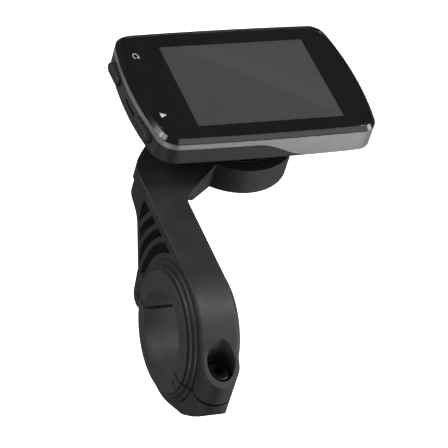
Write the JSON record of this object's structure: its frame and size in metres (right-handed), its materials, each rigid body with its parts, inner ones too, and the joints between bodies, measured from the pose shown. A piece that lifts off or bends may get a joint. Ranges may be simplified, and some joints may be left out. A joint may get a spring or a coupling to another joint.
{
  "type": "cycling computer",
  "caption": "Cycling computer with a glossy face, held by a quarter-turn fitting on a clamp arm that reaches out in front of a handlebar.",
  "frame": {"origin": "centre of the handlebar clamp's bore, on the middle plane of the arm", "axes": "+X along the handlebar, +Y forward along the arm, +Z out of the computer's face"},
  "size_m": [0.0752, 0.1109, 0.0632],
  "materials": {
    "arm_plastic": "moulded matte black nylon",
    "receptacle_plastic": "moulded black acetal",
    "shim_rubber": "moulded dark rubber",
    "steel": "black-oxide or plain steel fastener",
    "black_steel": "black-oxide steel",
    "lens_glass": "polished cover glass",
    "bezel_gloss": "polished black",
    "display": "unlit display",
    "silver_band": "satin silver paint",
    "grey_plate": "satin silver-grey plastic",
    "housing_plastic": "fine-textured black plastic",
    "button_rubber": "dark rubber",
    "gasket_rubber": "black rubber",
    "adhesive": "black foam tape",
    "board": "green solder mask",
    "tin_can": "tin-plated steel",
    "ceramic": "fired ceramic",
    "battery_foil": "laminated pouch",
    "foam": "soft foam",
    "flex_film": "polyimide film"
  },
  "bodies": {
    "mount": {"mount_arm": "arm_plastic", "bayonet_receptacle": "receptacle_plastic", "receptacle_screws": "steel", "upper_shim": "shim_rubber", "hinge_pin": "black_steel"},
    "jaw": {"clamp_jaw": "arm_plastic", "lower_shim": "shim_rubber", "clamp_nut": "black_steel"},
    "bolt": {"clamp_bolt": "black_steel", "bolt_washer": "steel"},
    "computer": {"front_lens": "lens_glass", "lens_adhesive": "adhesive", "display_panel": "display", "front_bezel": "bezel_gloss", "side_band": "silver_band", "button_plate": "grey_plate", "rear_housing": "housing_plastic", "housing_gasket": "gasket_rubber", "bayonet_boss": "housing_plastic", "main_board": "board", "board_screws": "steel", "shield_can": "tin_can", "gps_antenna": "ceramic", "buzzer": "receptacle_plastic", "battery": "battery_foil", "battery_foam": "foam", "usb_connector": "tin_can", "display_flex": "flex_film", "tact_switches": "tin_can", "housing_screws": "black_steel"},
    "lap": {"lap_button": "button_rubber"},
    "start": {"start_button": "button_rubber"},
    "power": {"power_button": "button_rubber"},
    "cover": {"usb_cover": "button_rubber"}
  },
  "joints": [
    {"name": "computer_twist", "type": "hinge", "parent": "mount", "child": "computer", "pos_m": [0.0312, 0.0575, 0.0203], "axis": [0, 0, 1], "range_deg": [0, 90]},
    {"name": "jaw_hinge", "type": "hinge", "parent": "mount", "child": "jaw", "pos_m": [0, 0.0226, -0.0084], "axis": [1, 0, 0], "range_deg": [0, 100]},
    {"name": "bolt_slide", "type": "slide", "parent": "mount", "child": "bolt", "axis": [0, 0, 1], "range_m": [0, 0.016]},
    {"name": "lap_press", "type": "slide", "parent": "computer", "child": "lap", "axis": [1, 0, 0], "range_m": [0, 0.0006], "stiffness_N_per_m": 1500},
    {"name": "start_press", "type": "slide", "parent": "computer", "child": "start", "axis": [1, 0, 0], "range_m": [0, 0.0006], "stiffness_N_per_m": 1500},
    {"name": "power_press", "type": "slide", "parent": "computer", "child": "power", "axis": [0, -1, 0], "range_m": [0, 0.0005], "stiffness_N_per_m": 1500},
    {"name": "usb_cover_hinge", "type": "hinge", "parent": "computer", "child": "cover", "pos_m": [-0.0028, 0.0585, 0.029], "axis": [0, -1, 0], "range_deg": [0, 75]}
  ]
}
